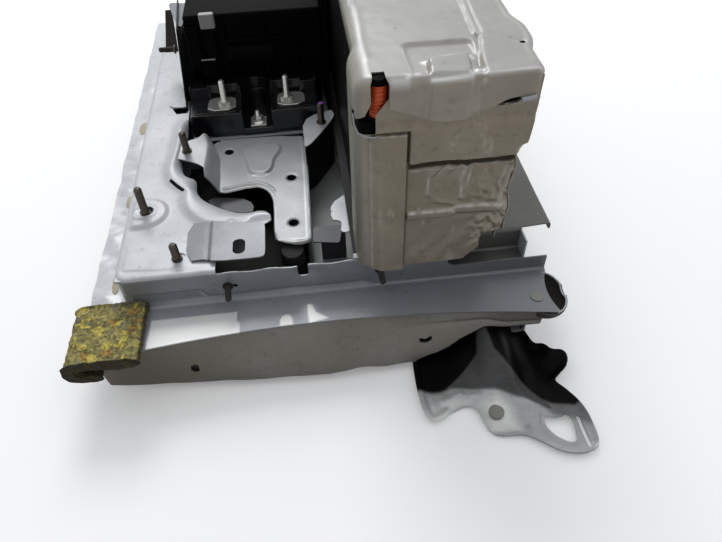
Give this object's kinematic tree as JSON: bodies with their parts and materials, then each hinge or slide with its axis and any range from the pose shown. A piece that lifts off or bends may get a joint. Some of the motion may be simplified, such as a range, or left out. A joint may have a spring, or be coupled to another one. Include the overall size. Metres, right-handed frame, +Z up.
{
  "type": "hybrid car battery pack",
  "caption": "Flat pressed-steel battery pack with a tall cell cover along one side, an open electronics bay, threaded studs, an orange conduit and a stamped mounting leg.",
  "frame": {"origin": "on the ground under the middle of the pack", "axes": "+X to the right seen from the end with the foam seal and the leg, +Y away from that end along the pack's length, +Z up"},
  "size_m": [0.469, 0.797, 0.2925],
  "materials": {
    "galvanised_sheet": "bare galvanised steel sheet, satin, dusty",
    "cover_sheet": "thin bare steel sheet, satin, slightly stained",
    "dark_sheet": "black painted steel sheet",
    "zinc_steel": "zinc-plated steel",
    "tinned_copper": "tinned copper, dull",
    "end_aluminium": "plain aluminium",
    "black_plastic": "moulded black plastic, satin",
    "grey_plastic": "grey plastic",
    "orange_plastic": "ribbed orange conduit",
    "chip_foam": "coarse bonded chip foam, dirty ochre",
    "cell_can": "sleeved prismatic cell"
  },
  "bodies": {
    "root": {"lower_case": "galvanised_sheet", "skid_left": "galvanised_sheet", "skid_right": "galvanised_sheet", "upper_deck": "galvanised_sheet", "front_apron": "galvanised_sheet", "closing_channel": "galvanised_sheet", "front_mount_leg": "galvanised_sheet", "stud_plate": "galvanised_sheet", "bay_pan": "galvanised_sheet", "electronics_shelf": "galvanised_sheet", "stack_support": "galvanised_sheet", "bridge_bracket": "galvanised_sheet", "slotted_bracket": "galvanised_sheet", "gusset_bracket": "galvanised_sheet", "side_stay": "galvanised_sheet", "upright_bracket": "dark_sheet", "cover_left": "cover_sheet", "cover_right": "cover_sheet", "cover_rear": "cover_sheet", "cover_end_panel": "cover_sheet", "cover_top": "cover_sheet", "terminal_block": "black_plastic", "terminal_plates": "tinned_copper", "terminal_studs": "zinc_steel", "earth_washer": "zinc_steel", "earth_nut": "zinc_steel", "earth_stud": "zinc_steel", "housing_foot": "black_plastic", "junction_housing": "black_plastic", "housing_lid": "black_plastic", "housing_latch": "grey_plastic", "hv_conduit": "orange_plastic", "conduit_plug": "black_plastic", "conduit_boot": "black_plastic", "corner_seal": "chip_foam", "deck_studs": "zinc_steel", "bracket_studs": "zinc_steel", "wall_studs": "zinc_steel", "upright_stud": "zinc_steel", "ledge_plug": "grey_plastic", "lower_tray": "black_plastic", "lower_cells": "cell_can", "lower_carrier": "black_plastic", "lower_bus_bars": "tinned_copper", "upper_tray": "black_plastic", "upper_cells": "cell_can", "upper_carrier": "black_plastic", "upper_bus_bars": "tinned_copper", "front_end_plate": "end_aluminium", "rear_end_plate": "end_aluminium", "control_unit": "end_aluminium"}
  },
  "joints": []
}
